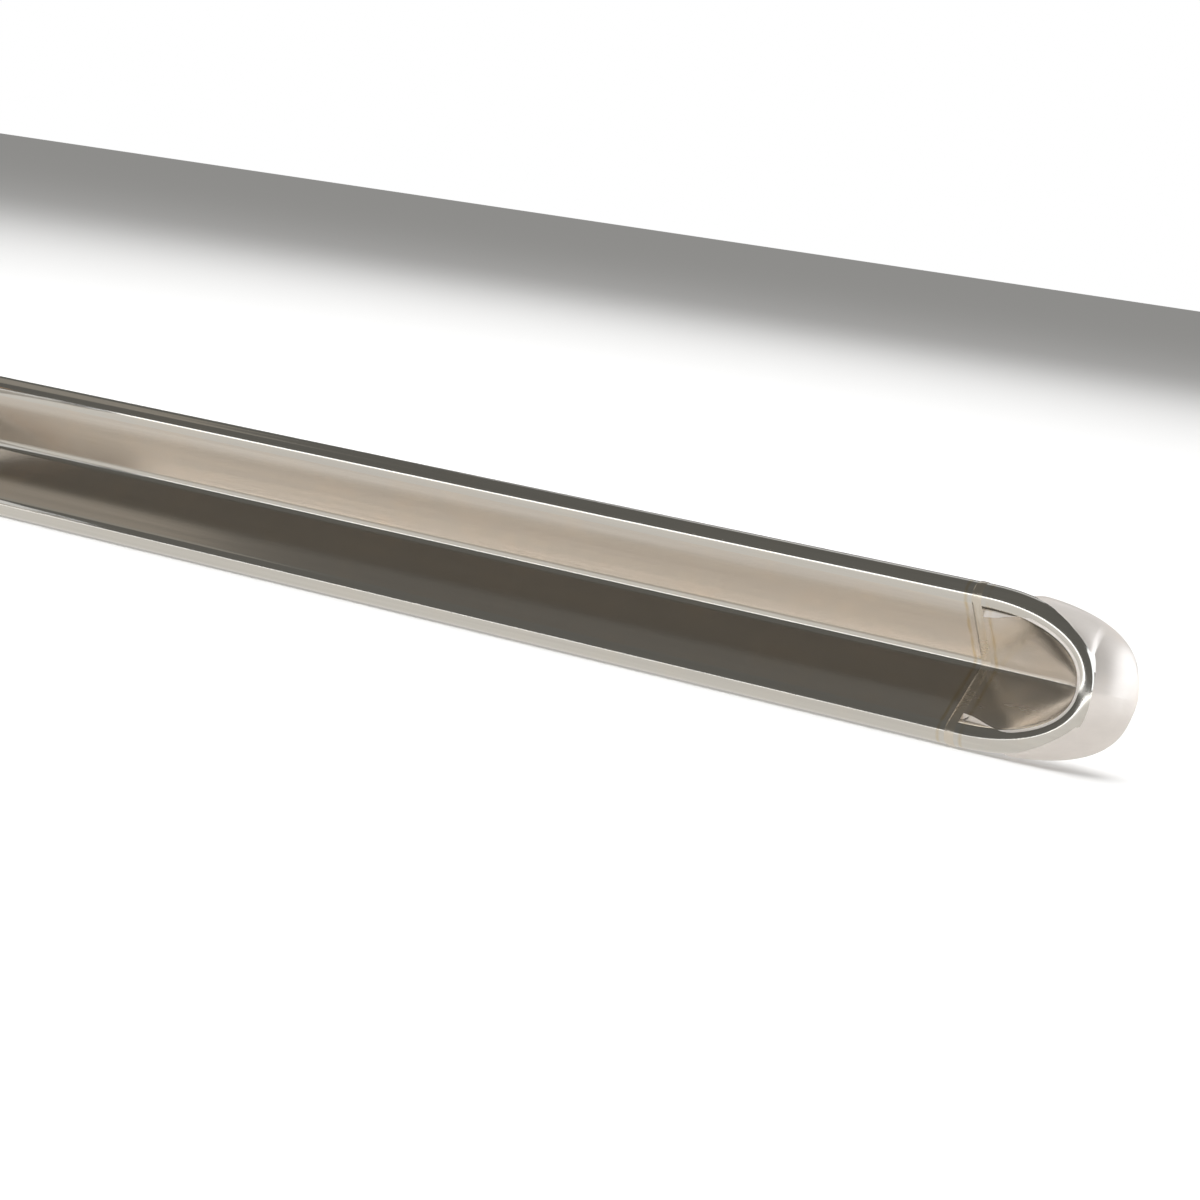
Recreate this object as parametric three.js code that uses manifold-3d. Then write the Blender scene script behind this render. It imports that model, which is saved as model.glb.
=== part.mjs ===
// Sled runner brick jointer: a long V channel of stainless steel with a welded, boat-shaped
// nose at each end, and a turned wooden grip carried over its open side on two posts.
// Millimetres, +Z up. The tool lies on its side, on the lower rim and the grip.
import * as THREE from 'three';
import { mergeVertices } from 'three/addons/utils/BufferGeometryUtils.js';
import Module from 'manifold-3d';

const wasm = await Module();
wasm.setup();

// ---------------------------------------------------------------- driving dimensions
const OVERALL_LENGTH = 610;
const CHANNEL_WIDTH = 25.4; // across the two rolled rims
const V_HALF_ANGLE = THREE.MathUtils.degToRad(47.5);
const SHEET = 1.2;
const RIM_RADIUS = 2.1; // the sheet rolled outward, level with its inner face
const VALLEY_RADIUS = 1.5; // inside bend of the V
const ROOT_RUN = 0.3; // foot of the fillet that fills the corner between leg and rim
const ROOT_TURN = THREE.MathUtils.degToRad(20); // where that fillet meets the rim
const CORNER_STEPS = 8;
const RIM_STEPS = 18;

const NOSE_LENGTH = 26.5; // weld to the foremost point of the hull
const RIM_SETBACK = 6.4; // foremost point of the hull to the rim's centre line
const HULL_SQUARENESS = 2.7; // 2 is an ellipse in plan
const RIM_SQUARENESS = 2.2;
const SHOULDER_DROP = 2.5; // the hull's widest line, below the rim's centre
const SHOULDER_RUN = 12; // length over which that line falls away from the rim
const SHOULDER_STEP = 0.25; // top of the rim down to the shoulder beside it
const FLARE_RUN = 9; // length over which the hull widens from the V to the full width
const BELLY_START = 6; // distance from the weld where the V starts to round out
const BELLY_RUN = 12; // length over which it turns into a round belly
const BELLY_FULLNESS = 0.7; // 0 stays a V, 1 loses the keel ridge
const BELLY_POWER = 2.4;
const PROW_SQUARENESS = 3; // of the keel line, seen from the side
const BOWL_SQUARENESS = 3;
const WELD_WIDTH = 1.6;
const WELD_STAND = 0.12; // how far a weld stands proud of the sheet

const GRIP_LENGTH = 104;
const GRIP_END_RADIUS = 12.5;
const GRIP_BELLY_RADIUS = 17;
const FINGER_GAP = 28; // rims to the belly of the grip
const FERRULE_LENGTH = 14;
const FERRULE_WALL = 0.8;
const ROD_RADIUS = 3;
const ROD_HEAD_RADIUS = 6.2;
const ROD_HEAD_HEIGHT = 4.2;
const NUT_ACROSS_FLATS = 10;
const NUT_HEIGHT = 5;
const NUT_DOME_RADIUS = 4.4;
const WASHER_RADIUS = 8;
const WASHER_THICKNESS = 1.2;
const LOCK_WASHER_RADIUS = 5.4;
const LOCK_WASHER_THICKNESS = 1.4;

const POST_THICKNESS = 3;
const POST_EYE_RADIUS = 9.5;
const SADDLE_LENGTH = 16;
const SADDLE_THICKNESS = 2;
const FILLET_SIZE = 1.4;
const POST_SIDE_CLEARANCE = 1.7; // post to each lip of the V
const SADDLE_RIM_CLEARANCE = 3; // top edge of a saddle to the lip of the V

const SEAM_GAP = 0.1; // between faces square to the tool's length
const TOUCH_GAP = 0.3; // between faces that lean with the tool
const BORE_CLEARANCE = 0.3;

// ---------------------------------------------------------------- sizes that follow
const SIN_V = Math.sin(V_HALF_ANGLE);
const COS_V = Math.cos(V_HALF_ANGLE);
const RIM_Y = CHANNEL_WIDTH / 2 - RIM_RADIUS;
const RIM_Z = (RIM_Y * COS_V - RIM_RADIUS) / SIN_V;
const RIM_TOP = RIM_Z + RIM_RADIUS;
const LIP_Y = RIM_Y - RIM_RADIUS * COS_V; // where the flat of the V runs into the rim
const LIP_Z = RIM_Z + RIM_RADIUS * SIN_V;
const KEEL_Z = -SHEET / SIN_V;
const HALF_LENGTH = OVERALL_LENGTH / 2;
const SEAM_X = HALF_LENGTH - NOSE_LENGTH;
const CAP_LENGTH = NOSE_LENGTH - WELD_WIDTH / 2 - SEAM_GAP;
const CHANNEL_HALF = SEAM_X - WELD_WIDTH / 2 - SEAM_GAP;
const GRIP_Z = RIM_TOP + FINGER_GAP + GRIP_BELLY_RADIUS;
const GRIP_BORE_RADIUS = ROD_RADIUS + BORE_CLEARANCE;
const FERRULE_OUTER = GRIP_LENGTH / 2 + TOUCH_GAP + FERRULE_WALL;
const POST_INNER = FERRULE_OUTER + TOUCH_GAP;
const POST_OUTER = POST_INNER + POST_THICKNESS;
const POST_WIDTH = 2 * (LIP_Y - POST_SIDE_CLEARANCE);
const SADDLE_HEIGHT = LIP_Z - SADDLE_RIM_CLEARANCE; // up from the bottom of the V
const WASHER_OUTER = POST_OUTER + TOUCH_GAP + WASHER_THICKNESS;
const LOCK_WASHER_OUTER = WASHER_OUTER + TOUCH_GAP + LOCK_WASHER_THICKNESS;

// ---------------------------------------------------------------- materials
const finish = (color, roughness, metalness) =>
  new THREE.MeshStandardMaterial({ color, roughness, metalness });
const polishedSteel = () => finish(0xb9b3aa, 0.22, 1);
const groundSteel = () => finish(0xd6cfc8, 0.45, 1);
const weldSteel = () => finish(0xc7b48c, 0.4, 1);
const zincSteel = () => finish(0xb6b8ba, 0.35, 1);
const beech = () => finish(0xb98550, 0.55, 0);

// ---------------------------------------------------------------- solid helpers
function toSolid(geometry) {
  const bare = geometry.clone();
  bare.deleteAttribute('normal');
  bare.deleteAttribute('uv');
  const merged = mergeVertices(bare, 1e-4);
  const mesh = new wasm.Mesh({
    numProp: 3,
    vertProperties: new Float32Array(merged.attributes.position.array),
    triVerts: new Uint32Array(merged.index.array),
  });
  return new wasm.Manifold(mesh);
}

function toGeometry(solid) {
  const mesh = solid.getMesh();
  const geometry = new THREE.BufferGeometry();
  const points = new THREE.BufferAttribute(new Float32Array(mesh.vertProperties), 3);
  geometry.setAttribute('position', points);
  geometry.setIndex(new THREE.BufferAttribute(new Uint32Array(mesh.triVerts), 1));
  geometry.computeVertexNormals();
  return geometry;
}

// Rings of equal count, joined by quads; the first ring is closed flat and the last to its middle.
function loft(rings) {
  const count = rings[0].length;
  const points = rings.flat();
  const middle = (ring) =>
    ring.reduce((sum, p) => sum.add(p), new THREE.Vector3()).divideScalar(count);
  const startHub = points.push(middle(rings[0])) - 1;
  const endHub = points.push(middle(rings[rings.length - 1])) - 1;
  const last = (rings.length - 1) * count;
  const faces = [];
  for (let i = 0; i < count; i += 1) {
    const j = (i + 1) % count;
    faces.push(startHub, j, i, endHub, last + i, last + j);
    for (let k = 0; k < last; k += count) {
      faces.push(k + i, k + j, k + count + j, k + i, k + count + j, k + count + i);
    }
  }
  const geometry = new THREE.BufferGeometry().setFromPoints(points);
  geometry.setIndex(faces);
  return geometry;
}

// An outline in (y, z) drawn out along X, from one x to another.
function alongX(shape, fromX, toX, curveSegments = 8) {
  const geometry = new THREE.ExtrudeGeometry(shape, {
    depth: toX - fromX,
    bevelEnabled: false,
    curveSegments,
  });
  const axes = new THREE.Matrix4().makeBasis(
    new THREE.Vector3(0, 1, 0),
    new THREE.Vector3(0, 0, 1),
    new THREE.Vector3(1, 0, 0),
  );
  return geometry.applyMatrix4(axes).translate(fromX, 0, 0);
}

// A turned piece: [x, radius] pairs from one end to the other, spun about the grip's axis.
function turned(profile, segments) {
  const points = profile.map(([x, radius]) => new THREE.Vector2(radius, x));
  return new THREE.LatheGeometry(points, segments).rotateZ(-Math.PI / 2);
}

// ---------------------------------------------------------------- V channel
const LEG_ANGLE = Math.PI / 2 - V_HALF_ANGLE; // of the right leg, above the horizontal
const VALLEY_CENTRE_Z = VALLEY_RADIUS / SIN_V;
const KEEL_ROUND_Z = VALLEY_CENTRE_Z - VALLEY_RADIUS - SHEET;
const VALLEY_Z = VALLEY_CENTRE_Z - VALLEY_RADIUS;

function arc(y, z, radius, from, to, steps) {
  const points = [];
  for (let i = 0; i <= steps; i += 1) {
    const angle = from + ((to - from) * i) / steps;
    points.push(new THREE.Vector2(y + radius * Math.cos(angle), z + radius * Math.sin(angle)));
  }
  return points;
}

// A right-hand half outline, from the axis to the axis, with its mirror image on the left.
function mirroredShape(half) {
  const left = half
    .slice(1, -1)
    .map((p) => new THREE.Vector2(-p.x, p.y))
    .reverse();
  return new THREE.Shape([...half, ...left]);
}

// The sheet's section, grown all round by `extra`: a bend, two legs, and a rolled rim on each.
function channelShape(extra) {
  const rim = RIM_RADIUS + extra;
  const rootRun = RIM_Y * SIN_V + RIM_Z * COS_V - rim - ROOT_RUN; // up the leg from the bend
  const skin = SHEET + extra;
  const keelRadius = VALLEY_RADIUS + SHEET + extra;
  const down = -Math.PI / 2;
  const square = LEG_ANGLE - Math.PI / 2;
  return mirroredShape([
    ...arc(0, VALLEY_CENTRE_Z, keelRadius, down, square, CORNER_STEPS),
    new THREE.Vector2(rootRun * SIN_V + skin * COS_V, rootRun * COS_V - skin * SIN_V),
    ...arc(RIM_Y, RIM_Z, rim, square + down + ROOT_TURN, square + Math.PI, RIM_STEPS),
    ...arc(0, VALLEY_CENTRE_Z, VALLEY_RADIUS - extra, square, down, CORNER_STEPS),
  ]);
}

// A V strip lying in the channel: `under` above its faces, `thickness` thick, up to `height`.
function seatShape(under, thickness, height) {
  const along = (height - VALLEY_Z) / COS_V;
  const leg = (offset, run) =>
    new THREE.Vector2(run * SIN_V - offset * COS_V, run * COS_V + offset * SIN_V);
  const bend = Math.max(VALLEY_RADIUS - under, BORE_CLEARANCE);
  const bendCentreZ = (under + bend) / SIN_V;
  return mirroredShape([
    ...arc(0, bendCentreZ, bend, -Math.PI / 2, LEG_ANGLE - Math.PI / 2, CORNER_STEPS),
    leg(under, along),
    leg(under + thickness, along),
    new THREE.Vector2(0, (under + thickness) / SIN_V),
  ]);
}

// ---------------------------------------------------------------- nose cap
// Nose coordinates: x from the weld towards the tip, with y and z as in the channel.
const NOSE_STEPS = 16;
const NOSE_ARC_END = 0.975; // the last ring, as a share of the quarter turn to the tip
const BELLY_STEPS = 10;
const SHOULDER_STEPS = 3;
const RIM_TIP = CAP_LENGTH - RIM_SETBACK;
const HULL_START_WIDTH = (RIM_Z - KEEL_Z) * Math.tan(V_HALF_ANGLE);
const HULL_HALF_WIDTH = CHANNEL_WIDTH / 2;
const BOWL_TIP = RIM_TIP - (RIM_Y - LIP_Y);
const CUT_MARGIN = 1;

const superellipse = (share, power) => Math.max(1 - share ** power, 0) ** (1 / power);
const smooth = (share) => THREE.MathUtils.smoothstep(share, 0, 1);

// Stations closer together towards the tip.
function stations(length, power) {
  const places = [];
  for (let i = 0; i <= NOSE_STEPS; i += 1) {
    const turn = (NOSE_ARC_END * Math.PI * i) / (2 * NOSE_STEPS);
    places.push(length * Math.sin(turn) ** (2 / power));
  }
  return places;
}

// The underside across one section, from 0 at the keel to 1 at the edge, for t from -1 to 1.
function undersideRise(t, halfWidth, round, fullness) {
  const crest = Math.hypot(halfWidth, round) - round;
  const vee = (Math.hypot(t * halfWidth, round) - round) / crest;
  return vee * (1 - fullness) + Math.abs(t) ** BELLY_POWER * fullness;
}

function undersideRing(x, halfWidth, keelZ, edgeZ, round, fullness) {
  const ring = [];
  for (let i = 0; i <= 2 * BELLY_STEPS; i += 1) {
    const t = i / BELLY_STEPS - 1;
    const rise = undersideRise(t, halfWidth, round, fullness);
    ring.push(new THREE.Vector3(x, t * halfWidth, keelZ + (edgeZ - keelZ) * rise));
  }
  return ring;
}

function hullSolid() {
  const round = (KEEL_ROUND_Z - KEEL_Z) * Math.tan(V_HALF_ANGLE);
  const rings = stations(CAP_LENGTH, HULL_SQUARENESS).map((x) => {
    const share = x / CAP_LENGTH;
    const flare = smooth(x / FLARE_RUN);
    const fullWidth = THREE.MathUtils.lerp(HULL_START_WIDTH, HULL_HALF_WIDTH, flare);
    const halfWidth = fullWidth * superellipse(share, HULL_SQUARENESS);
    const rimY = Math.min(RIM_Y * superellipse(Math.min(x / RIM_TIP, 1), RIM_SQUARENESS), halfWidth);
    const edgeZ = RIM_Z - SHOULDER_DROP * smooth(x / SHOULDER_RUN);
    const overhang = Math.max(x - RIM_TIP, 0) / RIM_SETBACK;
    const shoulderZ = RIM_Z + (RIM_RADIUS - SHOULDER_STEP) * flare;
    const topZ = edgeZ + (shoulderZ - edgeZ) * superellipse(overhang, 2);
    const keelZ = edgeZ - (edgeZ - KEEL_ROUND_Z) * superellipse(share, PROW_SQUARENESS);
    const fullness = BELLY_FULLNESS * smooth((x - BELLY_START) / BELLY_RUN);
    const ring = undersideRing(x, halfWidth, keelZ, edgeZ, round, fullness);
    const shoulder = arc(0, 0, 1, 0, Math.PI / 2, SHOULDER_STEPS).slice(1);
    const place = (p, side) =>
      new THREE.Vector3(
        x,
        side * (rimY + (halfWidth - rimY) * p.x),
        edgeZ + (topZ - edgeZ) * p.y,
      );
    ring.push(...shoulder.map((p) => place(p, 1)));
    ring.push(...shoulder.map((p) => place(p, -1)).reverse());
    return ring;
  });
  return toSolid(loft(rings));
}

function bowlSolid() {
  const round = VALLEY_Z * Math.tan(V_HALF_ANGLE);
  const places = stations(BOWL_TIP, RIM_SQUARENESS);
  const rings = [-CUT_MARGIN, ...places].map((x) => {
    const share = Math.max(x, 0) / BOWL_TIP;
    const halfWidth = LIP_Y * superellipse(share, RIM_SQUARENESS);
    const keelZ = LIP_Z - (LIP_Z - VALLEY_Z) * superellipse(share, BOWL_SQUARENESS);
    const fullness = BELLY_FULLNESS * smooth((x - BELLY_START) / BELLY_RUN);
    const ring = undersideRing(x, halfWidth, keelZ, LIP_Z, round, fullness);
    ring.push(new THREE.Vector3(x, halfWidth, RIM_TOP + CUT_MARGIN));
    ring.push(new THREE.Vector3(x, -halfWidth, RIM_TOP + CUT_MARGIN));
    return ring;
  });
  return toSolid(loft(rings));
}

// The rolled rim carried round the end in one plane, as a bent rod.
function rimSolid() {
  const steps = 2 * NOSE_STEPS;
  const onPath = (i) => {
    const turn = (Math.PI * i) / steps;
    const x = RIM_TIP * Math.abs(Math.sin(turn)) ** (2 / RIM_SQUARENESS);
    const side = Math.sign(Math.cos(turn)) || 1;
    const y = RIM_Y * side * Math.abs(Math.cos(turn)) ** (2 / RIM_SQUARENESS);
    return new THREE.Vector2(x, y);
  };
  const rings = [];
  for (let i = 0; i <= steps; i += 1) {
    const here = onPath(i);
    const before = onPath(Math.max(i - 1, 0));
    const after = onPath(Math.min(i + 1, steps));
    const ends = i === 0 || i === steps;
    const run = ends ? new THREE.Vector2(1, 0) : after.sub(before).normalize();
    const out = ends ? new THREE.Vector2(0, Math.sign(here.y)) : new THREE.Vector2(-run.y, run.x);
    rings.push(
      arc(0, 0, RIM_RADIUS, 0, 2 * Math.PI, RIM_STEPS)
        .slice(1)
        .map((p) => new THREE.Vector3(here.x + out.x * p.x, here.y + out.y * p.x, RIM_Z + p.y)),
    );
  }
  return toSolid(loft(rings));
}

function noseCapGeometry() {
  const cap = hullSolid().subtract(bowlSolid()).add(rimSolid());
  return toGeometry(cap);
}

// ---------------------------------------------------------------- handle
function postShape() {
  const tipZ = (2 * TOUCH_GAP + SADDLE_THICKNESS) / SIN_V;
  const flankZ = tipZ + (POST_WIDTH / 2) / Math.tan(V_HALF_ANGLE);
  const meet = Math.asin(Math.min(POST_WIDTH / 2 / POST_EYE_RADIUS, 1));
  const shape = mirroredShape([
    new THREE.Vector2(0, tipZ),
    new THREE.Vector2(POST_WIDTH / 2, flankZ),
    ...arc(0, GRIP_Z, POST_EYE_RADIUS, meet - Math.PI / 2, Math.PI / 2, 3 * CORNER_STEPS),
  ]);
  const eye = new THREE.Path();
  eye.absarc(0, GRIP_Z, ROD_RADIUS + BORE_CLEARANCE, 0, 2 * Math.PI, true);
  shape.holes.push(eye);
  return shape;
}

const GRIP_SEGMENTS = 40;
const SMALL_SEGMENTS = 28;

// The grip swells from its ferrules to a belly; its ends are turned down to enter them.
function gripGeometry() {
  const spigot = GRIP_END_RADIUS - FERRULE_WALL - BORE_CLEARANCE;
  const half = GRIP_LENGTH / 2;
  const body = half - FERRULE_LENGTH - TOUCH_GAP;
  const profile = [[-half, spigot], [-body, spigot]];
  const steps = 16;
  for (let i = 0; i <= steps; i += 1) {
    const share = i / steps;
    const swell = Math.sin(Math.PI * share) ** 0.8;
    const radius = GRIP_END_RADIUS + (GRIP_BELLY_RADIUS - GRIP_END_RADIUS) * swell;
    profile.push([body * (2 * share - 1), radius]);
  }
  profile.push([body, spigot], [half, spigot]);
  profile.push([half, GRIP_BORE_RADIUS], [-half, GRIP_BORE_RADIUS], [-half, spigot]);
  return turned(profile, GRIP_SEGMENTS);
}

function ferruleGeometry() {
  const inner = GRIP_LENGTH / 2 + TOUCH_GAP;
  const mouth = GRIP_LENGTH / 2 - FERRULE_LENGTH;
  const hole = GRIP_BORE_RADIUS;
  const wall = GRIP_END_RADIUS - FERRULE_WALL;
  return turned(
    [
      [mouth, wall],
      [mouth, GRIP_END_RADIUS],
      [FERRULE_OUTER, GRIP_END_RADIUS],
      [FERRULE_OUTER, hole],
      [inner, hole],
      [inner, wall],
      [mouth, wall],
    ],
    GRIP_SEGMENTS,
  );
}

function washerGeometry(outer, thickness, radius) {
  const hole = ROD_RADIUS + BORE_CLEARANCE;
  const inner = outer - thickness;
  const profile = [[inner, hole], [inner, radius], [outer, radius], [outer, hole], [inner, hole]];
  return turned(profile, SMALL_SEGMENTS);
}

// A rod with a low round head at its front end and a plain end inside the nut.
function rodGeometry() {
  const underHead = WASHER_OUTER + TOUCH_GAP;
  const crown = arc(underHead, 0, 1, Math.PI / 2, 0, CORNER_STEPS).map((p) => [
    underHead + (p.x - underHead) * ROD_HEAD_HEIGHT,
    p.y * ROD_HEAD_RADIUS,
  ]);
  crown[crown.length - 1][1] = 0;
  const end = -(LOCK_WASHER_OUTER + NUT_HEIGHT);
  return turned([[end, 0], [end, ROD_RADIUS], [underHead, ROD_RADIUS], ...crown], SMALL_SEGMENTS);
}

// A dome nut for the rear end: a hexagon under a half-round cap, bored from its flat side.
function nutGeometry() {
  const face = LOCK_WASHER_OUTER + TOUCH_GAP;
  const hexagon = new THREE.CylinderGeometry(1, 1, NUT_HEIGHT, 6);
  const corner = NUT_ACROSS_FLATS / 2 / Math.cos(Math.PI / 6);
  hexagon.scale(corner, 1, corner).rotateZ(Math.PI / 2).translate(-face - NUT_HEIGHT / 2, 0, 0);
  const dome = new THREE.SphereGeometry(NUT_DOME_RADIUS, SMALL_SEGMENTS, SMALL_SEGMENTS / 2);
  dome.translate(-face - NUT_HEIGHT, 0, 0);
  const depth = NUT_HEIGHT + TOUCH_GAP;
  const bore = new THREE.CylinderGeometry(1, 1, depth + CUT_MARGIN, SMALL_SEGMENTS);
  const boreRadius = ROD_RADIUS + BORE_CLEARANCE;
  bore.scale(boreRadius, 1, boreRadius).rotateZ(Math.PI / 2);
  bore.translate(-face - (depth - CUT_MARGIN) / 2, 0, 0);
  return toGeometry(toSolid(hexagon).add(toSolid(dome)).subtract(toSolid(bore)));
}

// ---------------------------------------------------------------- assembly
const tool = new THREE.Group();

function add(name, geometry, material) {
  const mesh = new THREE.Mesh(geometry, material);
  mesh.name = name;
  tool.add(mesh);
  return mesh;
}

add('runner_channel', alongX(channelShape(0), -CHANNEL_HALF, CHANNEL_HALF), polishedSteel());

const ends = [
  { name: 'front', side: 1 },
  { name: 'rear', side: -1 },
];
const postMiddle = (POST_INNER + POST_OUTER) / 2;
const saddleTop = TOUCH_GAP + SADDLE_THICKNESS;
const filletHeight = SADDLE_HEIGHT - FILLET_SIZE;

for (const { name, side } of ends) {
  const turn = side > 0 ? 0 : Math.PI;
  const span = (from, to) => (side > 0 ? [from, to] : [-to, -from]);

  const cap = add(`${name}_nose_cap`, noseCapGeometry(), groundSteel());
  cap.position.x = side * (CHANNEL_HALF + 2 * SEAM_GAP + WELD_WIDTH);
  cap.rotation.z = turn;
  const weldEnds = span(SEAM_X - WELD_WIDTH / 2, SEAM_X + WELD_WIDTH / 2);
  add(`${name}_nose_weld`, alongX(channelShape(WELD_STAND), ...weldEnds), weldSteel());

  const post = alongX(postShape(), ...span(POST_INNER, POST_OUTER), 12);
  add(`${name}_post`, post, zincSteel());
  const seat = seatShape(TOUCH_GAP, SADDLE_THICKNESS, SADDLE_HEIGHT);
  const saddleEnds = [postMiddle - SADDLE_LENGTH / 2, postMiddle + SADDLE_LENGTH / 2];
  add(`${name}_saddle`, alongX(seat, ...span(...saddleEnds)), zincSteel());

  const edgeFillet = seatShape(TOUCH_GAP, FILLET_SIZE, filletHeight);
  const footFillet = seatShape(saddleTop + TOUCH_GAP, FILLET_SIZE, filletHeight + saddleTop);
  const fillets = [
    ['saddle_weld_inner', edgeFillet, saddleEnds[0] - SEAM_GAP - FILLET_SIZE],
    ['saddle_weld_outer', edgeFillet, saddleEnds[1] + SEAM_GAP],
    ['post_weld_inner', footFillet, POST_INNER - SEAM_GAP - FILLET_SIZE],
    ['post_weld_outer', footFillet, POST_OUTER + SEAM_GAP],
  ];
  for (const [piece, shape, from] of fillets) {
    add(`${name}_${piece}`, alongX(shape, ...span(from, from + FILLET_SIZE)), weldSteel());
  }

  const ferrule = add(`${name}_ferrule`, ferruleGeometry(), polishedSteel());
  const washer = washerGeometry(WASHER_OUTER, WASHER_THICKNESS, WASHER_RADIUS);
  const plain = add(`${name}_washer`, washer, zincSteel());
  for (const piece of [ferrule, plain]) {
    piece.position.z = GRIP_Z;
    piece.rotation.z = turn;
  }
}

const lockWasher = washerGeometry(LOCK_WASHER_OUTER, LOCK_WASHER_THICKNESS, LOCK_WASHER_RADIUS);
add('lock_washer', lockWasher, zincSteel()).rotation.z = Math.PI;
add('grip', gripGeometry(), beech());
add('through_bolt', rodGeometry(), zincSteel());
add('dome_nut', nutGeometry(), zincSteel());
for (const piece of tool.children.slice(-4)) {
  piece.position.z = GRIP_Z;
}

// Laid down: the lower rim and the belly of the grip touch the same flat surface.
const gripRise = GRIP_Z - RIM_Z;
const reach = Math.hypot(RIM_Y, gripRise);
const MOUTH_TILT = Math.atan2(gripRise, RIM_Y) - Math.acos((GRIP_BELLY_RADIUS - RIM_RADIUS) / reach);
tool.rotation.x = Math.PI / 2 - MOUTH_TILT;
tool.updateMatrixWorld(true);
const box = new THREE.Box3().setFromObject(tool, true);
const middle = box.getCenter(new THREE.Vector3());
tool.position.set(-middle.x, -middle.y, -box.min.z);

const jointer = new THREE.Group();
jointer.add(tool);

export default jointer;
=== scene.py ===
# %% [markdown]
# # A sled runner brick jointer
# This lesson dresses a packed tool: a long V channel of stainless steel with a welded nose at each end,
# and a turned wooden grip carried over its open side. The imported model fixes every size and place. The
# script adds finer meshes and procedural finishes around it, and never moves what is packed.

# %% Load the frame
import math

import bmesh
import bpy
from mathutils import Matrix, Vector


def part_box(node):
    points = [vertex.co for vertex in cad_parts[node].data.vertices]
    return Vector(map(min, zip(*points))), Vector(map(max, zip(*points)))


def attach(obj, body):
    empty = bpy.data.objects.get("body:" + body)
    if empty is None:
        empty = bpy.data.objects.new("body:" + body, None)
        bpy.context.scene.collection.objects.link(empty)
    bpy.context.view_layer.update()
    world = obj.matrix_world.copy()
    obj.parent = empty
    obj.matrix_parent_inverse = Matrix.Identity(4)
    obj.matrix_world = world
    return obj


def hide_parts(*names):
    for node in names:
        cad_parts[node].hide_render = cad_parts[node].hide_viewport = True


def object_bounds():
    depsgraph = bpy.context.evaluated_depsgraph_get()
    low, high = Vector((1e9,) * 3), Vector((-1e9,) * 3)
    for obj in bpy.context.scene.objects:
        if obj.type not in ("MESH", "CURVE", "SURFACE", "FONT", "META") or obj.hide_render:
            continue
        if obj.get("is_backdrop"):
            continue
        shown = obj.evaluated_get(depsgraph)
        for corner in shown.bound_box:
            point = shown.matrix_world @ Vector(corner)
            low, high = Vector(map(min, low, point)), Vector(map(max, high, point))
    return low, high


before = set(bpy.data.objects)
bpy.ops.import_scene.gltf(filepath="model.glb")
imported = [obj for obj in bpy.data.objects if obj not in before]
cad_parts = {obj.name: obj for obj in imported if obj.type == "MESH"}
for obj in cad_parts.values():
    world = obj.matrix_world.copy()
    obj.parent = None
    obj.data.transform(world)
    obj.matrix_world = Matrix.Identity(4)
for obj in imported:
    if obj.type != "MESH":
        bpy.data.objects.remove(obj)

cad_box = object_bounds()
print("packed box, metres:", [[round(v, 4) for v in corner] for corner in cad_box])

# %% [markdown]
# ## The tool's own axes
# The tool lies on its side, so its section is easiest to draw in axes of its own: x along the runner,
# y across the V, z out of its open side towards the grip. One matrix carries a drawing in millimetres
# from those axes to the room. The lean follows from two round pieces that touch the floor together, the
# lower rim and the belly of the grip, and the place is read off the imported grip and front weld.

# %% Sizes and the tool matrix
MM = 0.001
CHANNEL_WIDTH = 25.4
V_HALF_ANGLE = math.radians(47.5)
SHEET = 1.2
RIM_RADIUS = 2.1
VALLEY_RADIUS = 1.5
FINGER_GAP = 28
GRIP_BELLY_RADIUS = 17

SIN_V = math.sin(V_HALF_ANGLE)
COS_V = math.cos(V_HALF_ANGLE)
RIM_Y = CHANNEL_WIDTH / 2 - RIM_RADIUS
RIM_Z = (RIM_Y * COS_V - RIM_RADIUS) / SIN_V
RIM_TOP = RIM_Z + RIM_RADIUS
LIP_Y = RIM_Y - RIM_RADIUS * COS_V
LIP_Z = RIM_Z + RIM_RADIUS * SIN_V
GRIP_Z = RIM_TOP + FINGER_GAP + GRIP_BELLY_RADIUS

grip_rise = GRIP_Z - RIM_Z
reach = math.hypot(RIM_Y, grip_rise)
MOUTH_TILT = math.atan2(grip_rise, RIM_Y) - math.acos((GRIP_BELLY_RADIUS - RIM_RADIUS) / reach)


def node_middle(node):
    low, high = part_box(node)
    return (Vector(low) + Vector(high)) / 2


turn = Matrix.Rotation(math.pi / 2 - MOUTH_TILT, 4, "X") @ Matrix.Scale(MM, 4)
grip_middle = node_middle("grip")
TOOL = Matrix.Translation(grip_middle - turn @ Vector((0, 0, GRIP_Z))) @ turn
WELD_X = node_middle("front_nose_weld").x / MM
print("mouth leans", round(math.degrees(MOUTH_TILT), 2), "degrees above level; weld at x", round(WELD_X, 2))

# %% [markdown]
# ## The camera
# The camera stands close to one nose, a little ahead of it, and looks back along the open side with a
# longish lens. It is placed in the tool's own axes, which keeps the view the same if the tool's lean
# changes. It gets a rotation matrix and not a track constraint, so its roll is exact.

# %% Camera
CAMERA_FROM_WELD = Vector((189.2, 20.9, 426.1))
CAMERA_RIGHT = Vector((0.8322, 0.1946, -0.5192))
CAMERA_FORWARD = Vector((-0.5205, -0.0488, -0.8525))
SENSOR = 36.0
LENS = 90.0

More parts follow.
